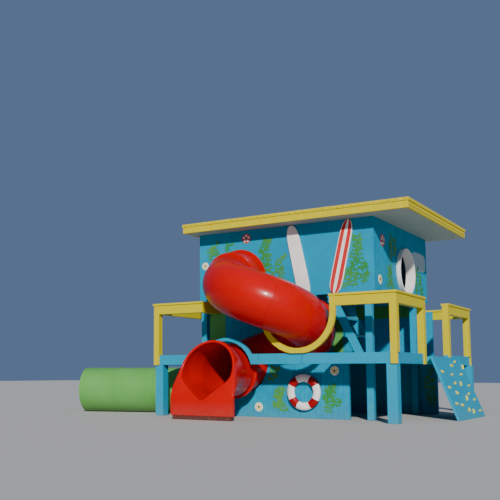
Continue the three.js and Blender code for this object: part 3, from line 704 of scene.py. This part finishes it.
def clad(name, way, look, board=BOARD_WIDE, hole=None, spans=None):
    """Upright boards over a wall, notched round a hole given by its middle and radius."""
    place, normal, (u0, u1), (z0, z1) = wall_face(name, way)
    if spans:
        u0, u1 = spans
    boards = Shape()
    lift = normal * BOARD_PROUD
    count = max(1, round((u1 - u0) / board))
    width = (u1 - u0) / count
    for k in range(count):
        left = u0 + k * width + BOARD_GAP / 2
        right = left + width - BOARD_GAP
        samples = [left + (right - left) * i / 4 for i in range(5)]
        if hole and any(abs(u - hole[0]) < hole[2] for u in samples):
            reach_up = [math.sqrt(max(0.0, hole[2] ** 2 - (u - hole[0]) ** 2)) for u in samples]
            over = [place(u, min(z1 - 0.002, hole[1] + r)) for u, r in zip(samples, reach_up)]
            under = [place(u, max(z0, hole[1] - r)) for u, r in zip(samples, reach_up)]
            if hole[1] + min(reach_up) < z1 - 0.01:
                boards.prism(over + [place(right, z1), place(left, z1)], lift)
            if hole[1] - max(reach_up) > z0 + 0.01:
                boards.prism(list(reversed(under)) + [place(left, z0), place(right, z0)], lift)
        else:
            boards.prism([place(left, z0), place(right, z0), place(right, z1), place(left, z1)], lift)
    return boards.piece(name + "_boards", LOOKS[look], look, bevel=BOARD_BEVEL, segments=1)


def cladding():
    side_span = (CABIN_FRONT, CABIN_BACK)
    porthole = (PORTHOLE_Y, PORTHOLE_Z, PORTHOLE_COLLAR_R)
    clad("cabin_right_wall", "+x", "blue_boards", hole=porthole, spans=side_span)
    clad("cabin_left_wall", "-x", "blue_boards", spans=side_span)
    clad("cabin_back_wall", "+y", "blue_boards")
    clad("lower_front_wall", "-y", "blue_boards", hole=SLIDE_HOLE)
    clad("lower_back_wall", "+y", "blue_boards")
    clad("lower_left_wall", "-x", "blue_boards")
    clad("screen_panel", "-y", "blue_boards", board=SCREEN_BOARD_WIDE)
    clad("deck_back_wall", "-y", "blue_boards", board=SCREEN_BOARD_WIDE)


DECK_BOARD_DEEP, DECK_BOARD_GAP, DECK_BOARD_THICK = 0.138, 0.006, 0.005
FLOOR_LEFT, FLOOR_RIGHT, FLOOR_FRONT, FLOOR_BACK = 0.01, 4.97, 0.005, DECK_BACK - 0.1
WELL_LEFT, WELL_RIGHT, WELL_BACK = 1.035, 3.75, 1.775


def deck_boards():
    """Boards across the deck's floor, on both sides of the well in front and right across behind it."""
    boards = Shape()
    y = FLOOR_FRONT
    while y < FLOOR_BACK:
        front = y + DECK_BOARD_GAP / 2
        back = min(y + DECK_BOARD_DEEP, FLOOR_BACK) - DECK_BOARD_GAP / 2
        spans = [(FLOOR_LEFT, FLOOR_RIGHT)]
        if y < WELL_BACK:
            spans = [(FLOOR_LEFT, WELL_LEFT), (WELL_RIGHT, FLOOR_RIGHT)]
        for x0, x1 in spans:
            boards.block((x0, front, FLOOR_TOP), (x1, back, FLOOR_TOP + DECK_BOARD_THICK))
        y += DECK_BOARD_DEEP
    boards.piece("deck_floor_boards", LOOKS["blue_boards"], "blue_boards", bevel=BOARD_BEVEL, segments=1)


EDGE_PLUGS, PLUG_INSET, PLUG_UP = 34, 0.08, 0.028
ROOF_SHEETS, SEAM_HALF, SEAM_INSET = 9, 0.012, 0.03
FASCIA_LINE_SHARE, FASCIA_LINE_HALF, FASCIA_LINE_PROUD = 0.4, 0.004, 0.001
SOFFIT_SHEETS, STRIP_HALF, STRIP_PROUD = 4, 0.02, 0.004


def roof_details():
    edge_plugs()
    roof_seams()
    fascia_line()
    soffit_strips()


def edge_plugs():
    plugs = Shape()
    low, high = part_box("roof_cap")
    for k in range(EDGE_PLUGS):
        x = low[0] + PLUG_INSET + (high[0] - low[0] - 2 * PLUG_INSET) * k / (EDGE_PLUGS - 1)
        plugs.round_head((x, low[1], low[2] + PLUG_UP), (0, -1, 0), *EDGE_PLUG)
    plugs.piece("roof_edge_plugs", DARK_PLUG, smooth=True)


def roof_seams():
    """Raised seams between the roof's sheets, as high as they are half wide."""
    seams = Shape()
    low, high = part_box("roof_cap")
    for k in range(1, ROOF_SHEETS):
        x = low[0] + (high[0] - low[0]) * k / ROOF_SHEETS
        seams.block((x - SEAM_HALF, low[1] + SEAM_INSET, high[2]),
                    (x + SEAM_HALF, high[1] - SEAM_INSET, high[2] + SEAM_HALF))
    seams.piece("roof_seams", LOOKS["yellow_paint"], "yellow_paint", bevel=0.003)


def fascia_line():
    line = Shape()
    low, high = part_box("right_fascia")
    z = low[2] + FASCIA_LINE_SHARE * (high[2] - low[2])
    line.block((high[0], low[1], z - FASCIA_LINE_HALF),
               (high[0] + FASCIA_LINE_PROUD, high[1], z + FASCIA_LINE_HALF))
    line.piece("fascia_line", DARK_PLUG)


def soffit_strips():
    strips = Shape()
    low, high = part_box("roof_soffit")
    for k in range(1, SOFFIT_SHEETS):
        x = low[0] + (high[0] - low[0]) * k / SOFFIT_SHEETS
        strips.block((x - STRIP_HALF, low[1], low[2] - STRIP_PROUD), (x + STRIP_HALF, high[1], low[2]))
    strips.piece("soffit_strips", LOOKS["soffit_boards"], "soffit_boards", bevel=0.001)


# Decoration on the walls
def leaf(shape, wall, at, turn, long, lift):
    """One pointed leaf that starts at a point and grows in one direction."""
    place, _ = wall
    outline = []
    for a in turns(8):
        along = long * (0.5 + 0.5 * math.cos(a))
        aside = long * 0.2 * math.sin(a)
        outline.append(place(at[0] + along * math.cos(turn) - aside * math.sin(turn),
                             at[1] + along * math.sin(turn) + aside * math.cos(turn)))
    shape.prism(outline, lift)


LEAF_LENGTH, LEAF_THICK = 0.1, 0.004
STEM_HALF, STEM_SWAY = 0.008, 0.03


def frond(shape, wall, foot, lean, height, pairs):
    """A weed frond: a waving stem with twigs in pairs, each with pointed leaves."""
    place, normal = wall
    lift = normal * LEAF_THICK

    def stem(t):
        return (foot[0] + lean * t + STEM_SWAY * math.sin(t * 7.0), foot[1] + height * t)

    steps = [i / 14 for i in range(15)]
    left = [place(stem(t)[0] - STEM_HALF, stem(t)[1]) for t in steps]
    right = [place(stem(t)[0] + STEM_HALF, stem(t)[1]) for t in reversed(steps)]
    shape.prism(left + right, lift)
    for k in range(pairs):
        t = (k + 0.7) / pairs
        u, z = stem(t)
        for side in (-1, 1):
            turn = math.pi / 2 - side * math.radians(chance.uniform(30, 100))
            long = LEAF_LENGTH * chance.uniform(0.6, 1.3)
            leaf(shape, wall, (u, z), turn, long, lift * chance.uniform(1.0, 1.4))
            mid = (u + 0.55 * long * math.cos(turn), z + 0.55 * long * math.sin(turn))
            for way in (-1, 1):
                leaf(shape, wall, mid, turn + way * 0.8, long * 0.65, lift * chance.uniform(1.0, 1.4))


BADGE_THICK, PETAL_THICK, MIDDLE_THICK = 0.006, 0.003, 0.005
SCALLOPS, SCALLOP_DEPTH = 10, 0.04
PETALS, MIDDLE_SHARE = 5, 0.24
PETAL_AT, PETAL_HALF, PETAL_SPREAD = 0.56, 0.3, 0.42


def badge(base, marks, middles, wall, at, radius):
    """A round flower badge with a scalloped rim, five raised petals and a dark middle."""
    place, normal = wall
    rim = [radius * (1 + SCALLOP_DEPTH * math.cos(SCALLOPS * t)) for t in turns(60)]
    base.prism([place(at[0] + r * math.cos(t), at[1] + r * math.sin(t)) for r, t in zip(rim, turns(60))],
               normal * BADGE_THICK)
    for middle in turns(PETALS, 0.3):
        petal = []
        for a in turns(12):
            r = radius * (PETAL_AT + PETAL_HALF * math.cos(a))
            t = middle + PETAL_SPREAD * math.sin(a)
            petal.append(place(at[0] + r * math.cos(t), at[1] + r * math.sin(t), BADGE_THICK))
        marks.prism(petal, normal * PETAL_THICK)
    small = radius * MIDDLE_SHARE
    disc = [place(at[0] + small * math.cos(t), at[1] + small * math.sin(t), BADGE_THICK) for t in turns(20)]
    middles.prism(disc, normal * MIDDLE_THICK)


SURFBOARD_OFF_WALL, SURFBOARD_THICK, STRIPE_THICK = 0.004, 0.034, 0.0015
FOOT_POWER, TIP_POWER = 8, 6


def surfboard(board, stripes, wall, foot, tip, half, bands):
    """A board leaning on the wall, squarer at its foot, with painted bands that follow its outline."""
    place, normal = wall
    foot, tip = Vector(foot), Vector(tip)
    along = tip - foot
    aside = Vector((along.y, -along.x)).normalized()

    def width(t):
        power = FOOT_POWER if t < 0.5 else TIP_POWER
        return half * (1.04 - 0.08 * t) * (1 - abs(2 * t - 1) ** power) ** 0.5

    def spot(t, share, off):
        p = foot + along * t + aside * width(t) * share
        return place(p.x, p.y, off)

    ts = [0.5 - 0.5 * math.cos(math.pi * i / 36) for i in range(37)]
    off = SURFBOARD_OFF_WALL
    outline = [spot(t, -1, off) for t in ts] + [spot(t, 1, off) for t in reversed(ts[1:-1])]
    board.prism(outline, normal * SURFBOARD_THICK)
    face = off + SURFBOARD_THICK
    inner = ts[2:-2]
    for a, b in bands:
        stripes.prism([spot(t, a, face) for t in inner] + [spot(t, b, face) for t in reversed(inner)],
                      normal * STRIPE_THICK)


RING_MIDDLE = (3.03, CABIN_FRONT - 0.065, 0.512)
RING_R, RING_THICK, RING_FLATNESS = 0.278, 0.078, 0.72
RING_BANDS, RING_BAND_PROUD = 4, 0.002
RING_BAND_SWEEP = math.radians(34)


def ring_part(shape, angles, closed, proud=0.0):
    """All or part of the flattened life ring, which stands in the X-Z plane."""
    loops = []
    for a in angles:
        loop = []
        for b in turns(20):
            r = RING_R + (RING_THICK + proud) * math.cos(b)
            out = (RING_THICK * RING_FLATNESS + proud) * math.sin(b)
            loop.append(Vector((RING_MIDDLE[0] + r * math.cos(a), RING_MIDDLE[1] + out,
                                RING_MIDDLE[2] + r * math.sin(a))))
        loops.append(loop)
    shape.rings(loops, closed=closed, capped=not closed)


def life_ring():
    ring = Shape()
    ring_part(ring, turns(72), True)
    ring.shell("life_ring", "white_plastic")
    bands = Shape()
    for middle in turns(RING_BANDS, math.radians(45)):
        start = middle - RING_BAND_SWEEP / 2
        ring_part(bands, [start + RING_BAND_SWEEP * i / 12 for i in range(13)], False, RING_BAND_PROUD)
    bands.piece("life_ring_bands", BAND_PAINT, smooth=True)


PATCH_MIDDLE, PATCH_HALF = (3.37, 3.3), (0.47, 0.2)
PATCH_POWER, PATCH_THICK = 0.5, 0.002


def pale_patch(wall):
    """A rounded paler patch high on the side wall."""
    place, normal = wall
    outline = []
    for t in turns(40):
        c, s = math.cos(t), math.sin(t)
        outline.append(place(PATCH_MIDDLE[0] + PATCH_HALF[0] * math.copysign(abs(c) ** PATCH_POWER, c),
                             PATCH_MIDDLE[1] + PATCH_HALF[1] * math.copysign(abs(s) ** PATCH_POWER, s)))
    patch = Shape()
    patch.prism(outline, normal * PATCH_THICK)
    patch.piece("pale_wall_patch", PALE_PATCH_LOOK)


# Each frond: its foot on the wall, how far it leans, its height and its pairs of twigs
FRONT_FRONDS = [((0.82, 3.28), 0.08, 0.30, 6), ((1.02, 3.26), -0.05, 0.36, 6), ((1.24, 3.34), 0.1, 0.28, 5),
                ((2.10, 2.95), 0.12, 0.66, 10), ((2.30, 2.66), -0.06, 0.98, 13),
                ((2.50, 2.62), 0.06, 0.62, 9), ((4.05, 2.52), 0.12, 0.90, 12),
                ((4.28, 2.56), -0.1, 0.98, 13), ((3.90, 2.5), 0.08, 0.42, 6), ((0.78, 2.6), 0.05, 0.35, 5)]
SIDE_FRONDS = [((1.50, 3.1), 0.1, 0.48, 7), ((1.76, 3.22), 0.08, 0.36, 6), ((1.36, 2.55), 0.1, 0.42, 7),
               ((1.60, 2.5), -0.06, 0.48, 7), ((3.15, 2.48), 0.08, 0.62, 9), ((3.5, 2.5), -0.06, 0.5, 8)]
LOW_FRONDS = [((2.36, 0.14), 0.14, 0.42, 7), ((2.54, 0.1), -0.08, 0.44, 7), ((3.48, 0.1), 0.1, 0.52, 8),
              ((3.68, 0.22), -0.1, 0.42, 7), ((2.3, 0.72), 0.08, 0.28, 5)]
WING_FRONDS = [((4.6, 0.15), 0.05, 0.85, 11)]


def fronds(front, side, low, wing):
    leaves = Shape()
    for wall, rows in ((front, FRONT_FRONDS), (side, SIDE_FRONDS), (low, LOW_FRONDS), (wing, WING_FRONDS)):
        for foot, lean, height, pairs in rows:
            frond(leaves, wall, foot, lean, height, pairs)
    leaves.piece("painted_fronds", LEAF_PAINT, bevel=0.0)


def badges(front, side, low):
    """Red badges with white petals and white badges with cream petals."""
    red_base, white_base, white_marks, cream_marks, middles = (Shape() for _ in range(5))
    for wall, at, radius in ((front, (1.74, 3.7), 0.1), (side, (1.08, 3.468), 0.12)):
        badge(red_base, white_marks, middles, wall, at, radius)
    for wall, at, radius in ((front, (0.72, 3.19), 0.08), (side, (0.90, 2.68), 0.095),
                             (low, (2.0, 0.2), 0.09), (low, (3.66, 0.93), 0.09)):
        badge(white_base, cream_marks, middles, wall, at, radius)
    red_base.piece("red_flower_badges", STRIPE_PAINT, bevel=0.0015)
    white_base.piece("white_flower_badges", LOOKS["white_plastic"], "white_plastic", bevel=0.0015)
    white_marks.piece("white_petals", LOOKS["white_plastic"], "white_plastic", bevel=0.0008)
    cream_marks.piece("cream_petals", CREAM_PAINT, bevel=0.0008)
    middles.piece("badge_middles", DARK_PLUG)


# Each leaning board: its foot and tip on the wall, half its width, and its bands as shares of that half
SURFBOARDS = [((3.085, 2.38), (2.78, 3.86), 0.14, []),
              ((3.69, 2.43), (4.02, 3.86), 0.128, [(-0.86, -0.26), (0.26, 0.86)])]


def surfboards(front):
    boards, stripes = Shape(), Shape()
    for foot, tip, half, bands in SURFBOARDS:
        surfboard(boards, stripes, front, foot, tip, half, bands)
    boards.piece("surfboards", LOOKS["white_plastic"], "white_plastic", bevel=0.007)
    stripes.piece("surfboard_stripes", STRIPE_PAINT, bevel=0.0)


def decoration():
    front = on_wall(1, CABIN_FRONT, -1)
    side = on_wall(0, CABIN_RIGHT + BOARD_PROUD, 1)
    low = on_wall(1, CABIN_FRONT - BOARD_PROUD, -1)
    wing = on_wall(1, LOWER_BACK_Y, -1)
    pale_patch(side)
    fronds(front, side, low, wing)
    badges(front, side, low)
    surfboards(front)
    life_ring()


# Small pieces of the rails, stair and ramp
RAIL_LEFT_X, RAIL_MIDDLE_X, RAIL_RIGHT_X, RAIL_SIDE_X = -0.06, 2.512, 5.085, 5.15
RAMP_POSTS_Y = (1.525, 3.265)
TONGUE_PROUD = 0.03
LOW_BOLT_UP, HIGH_BOLT_DOWN = 0.05, 0.06


def rail_bolts():
    """Bolt heads in pairs, one above the other, on the rails' tongues outside the deck beams."""
    heads = Shape()
    heights = (BEAM_UNDER + LOW_BOLT_UP, BEAM_TOP - HIGH_BOLT_DOWN)
    front, back = DECK_FRONT - TONGUE_PROUD, DECK_BACK + TONGUE_PROUD
    spots = [((x, front), (0, -1, 0)) for x in (RAIL_LEFT_X, RAIL_RIGHT_X)]
    spots += [((x, back), (0, 1, 0)) for x in (RAIL_LEFT_X, RAIL_MIDDLE_X, RAIL_RIGHT_X)]
    spots += [((RAIL_SIDE_X, y), (1, 0, 0)) for y in RAMP_POSTS_Y]
    for (x, y), way in spots:
        for z in heights:
            heads.round_head((x, y, z), way, *RAIL_BOLT)
    heads.piece("rail_bolt_heads", LOOKS["yellow_paint"], "yellow_paint", smooth=True)


# The front beam's joint lines: where each lies and how far down it reaches
BEAM_JOINTS = ((3.298, BEAM_UNDER), (2.372, 1.137))
LINE_HALF, LINE_PROUD = 0.003, 0.0012


def beam_joints():
    seams = Shape()
    for x, under in BEAM_JOINTS:
        seams.block((x - LINE_HALF, DECK_FRONT - LINE_PROUD, under),
                    (x + LINE_HALF, DECK_FRONT, BEAM_TOP - 0.002))
    seams.piece("front_beam_joints", JOINT_DARK)


TREAD_TOPS = (1.622, 1.968, 2.314)
STAIR_FOOT_X, STAIR_LEAN, STAIR_RISE = 4.262, 0.602, 1.219
STAIR_FRONT, STAIR_BACK = 0.67, 1.336
NOSING_DEEP, NOSING_THICK, NOSING_OVER = 0.045, 0.005, 0.002


def stair_nosings():
    """A pale strip along the front edge of each tread."""
    strips = Shape()
    for z in TREAD_TOPS:
        edge = STAIR_FOOT_X - STAIR_LEAN * (z - FLOOR_TOP) / STAIR_RISE
        strips.block((edge - NOSING_DEEP, STAIR_FRONT, z), (edge + NOSING_OVER, STAIR_BACK, z + NOSING_THICK))
    strips.piece("stair_nosings", CREAM_PAINT, bevel=0.002)


RAMP_FOOT_X, RAMP_TOP_X = 5.782, 5.305
HOLD_LONG, HOLD_HALF, HOLD_BEND, HOLD_PROUD = 0.068, 0.022, 0.022, 0.035
HOLD_TURNS = (-0.45, 0.4, 0.9, 0.1, -0.2)
# Each hold's Y and height
HOLDS = [(2.46, 1.02), (2.79, 1.1), (3.26, 1.0), (2.19, 0.85), (2.9, 0.85), (1.62, 0.9), (2.14, 0.68),
         (2.54, 0.66), (3.1, 0.62), (1.64, 0.6), (2.0, 0.49), (2.81, 0.46), (2.53, 0.38), (3.05, 0.34),
         (1.66, 0.3), (2.0, 0.26), (2.32, 0.16), (2.6, 0.12), (3.12, 0.12)]


def ramp_holds():
    """Climbing holds: low curved bars, each with a bolt in the middle."""
    foot, top = Vector((RAMP_FOOT_X, 0, 0)), Vector((RAMP_TOP_X, 0, FLOOR_TOP))
    up = (top - foot).normalized()
    side = Vector((0, 1, 0))
    out = side.cross(up).normalized()
    if out.x < 0:
        out = -out
    holds, bolts = Shape(), Shape()
    for number, (y, z) in enumerate(HOLDS):
        middle = foot + up * (z / up.z) + side * y
        turn = HOLD_TURNS[number % 5] + chance.uniform(-0.15, 0.15)
        one = side * math.cos(turn) + up * math.sin(turn)
        two = up * math.cos(turn) - side * math.sin(turn)
        loops = []
        for k in range(7):
            a = math.pi / 2 * k / 7
            r = math.cos(a)
            base = middle + out * HOLD_PROUD * math.sin(a)
            loops.append([base + one * HOLD_LONG * r * math.cos(t)
                          + two * r * (HOLD_HALF * math.sin(t) + HOLD_BEND * math.cos(t) ** 2)
                          for t in turns(16)])
        holds.rings(loops, capped=True)
        bolts.round_head(middle + out * 0.03 + two * 0.004, out, *HOLD_BOLT)
    holds.piece("ramp_holds", CREAM_PAINT, smooth=True)
    bolts.piece("ramp_hold_bolts", BOLT_STEEL, smooth=True)


def porthole_screws():
    screws = Shape()
    for t in turns(12, 0.13):
        spot = (CABIN_RIGHT + PORTHOLE_PROUD, PORTHOLE_Y + PORTHOLE_SCREWS_R * math.cos(t),
                PORTHOLE_Z + PORTHOLE_SCREWS_R * math.sin(t))
        screws.round_head(spot, (1, 0, 0), *PORTHOLE_SCREW)
    screws.piece("porthole_screws", BOLT_STEEL, smooth=True)


# Studio
GROUND_GREY, GROUND_ROUGHNESS = (0.52, 0.50, 0.47, 1), 0.9
GROUND_SIZE, GROUND_MIDDLE = 120, (1.5, 2.5, -0.002)
SUN_STRENGTH, SUN_SPREAD, SUN_COLOR = 4.5, math.radians(2.5), (1.0, 0.97, 0.92)
TOWARD_SUN = (0.61, -1.0, 0.6)
SKY_COLOR, SKY_STRENGTH = (0.36, 0.56, 1.0, 1), 0.28
CAMERA_AT = (9.68, -13.649, 0.88)
CAMERA_TILT, CAMERA_TURN = math.radians(96.12), math.radians(33.89)
CAMERA_LENS, CAMERA_SHIFT = 56.3, (0.136, 0.079)


def plain_material(name, color, roughness):
    material = bpy.data.materials.new(name)
    material.use_nodes = True
    shader = material.node_tree.nodes["Principled BSDF"]
    shader.inputs["Base Color"].default_value = color
    shader.inputs["Roughness"].default_value = roughness
    return material


def studio():
    bpy.ops.mesh.primitive_plane_add(size=GROUND_SIZE, location=GROUND_MIDDLE)
    floor = bpy.context.object
    floor.name = "studio_floor"
    floor.data.materials.append(plain_material("studio_floor", GROUND_GREY, GROUND_ROUGHNESS))
    sun = bpy.data.lights.new("key", "SUN")
    sun.energy = SUN_STRENGTH
    sun.angle = SUN_SPREAD
    sun.color = SUN_COLOR
    key = bpy.data.objects.new("key", sun)
    key.rotation_euler = Vector(TOWARD_SUN).to_track_quat("Z", "Y").to_euler()
    bpy.context.scene.collection.objects.link(key)
    world = bpy.data.worlds.new("studio")
    world.use_nodes = True
    background = world.node_tree.nodes["Background"]
    background.inputs["Color"].default_value = SKY_COLOR
    background.inputs["Strength"].default_value = SKY_STRENGTH
    bpy.context.scene.world = world


def camera():
    lens = bpy.data.cameras.new("camera")
    lens.sensor_width = 36
    lens.lens = CAMERA_LENS
    lens.shift_x, lens.shift_y = CAMERA_SHIFT
    lens.clip_end = 300
    viewer = bpy.data.objects.new("camera", lens)
    viewer.location = CAMERA_AT
    viewer.rotation_euler = (CAMERA_TILT, 0, CAMERA_TURN)
    bpy.context.scene.collection.objects.link(viewer)
    bpy.context.scene.camera = viewer


dress_nodes()
slide()
slide_exit()
tunnel()
cladding()
deck_boards()
roof_details()
decoration()
rail_bolts()
beam_joints()
stair_nosings()
ramp_holds()
porthole_screws()
studio()
camera()
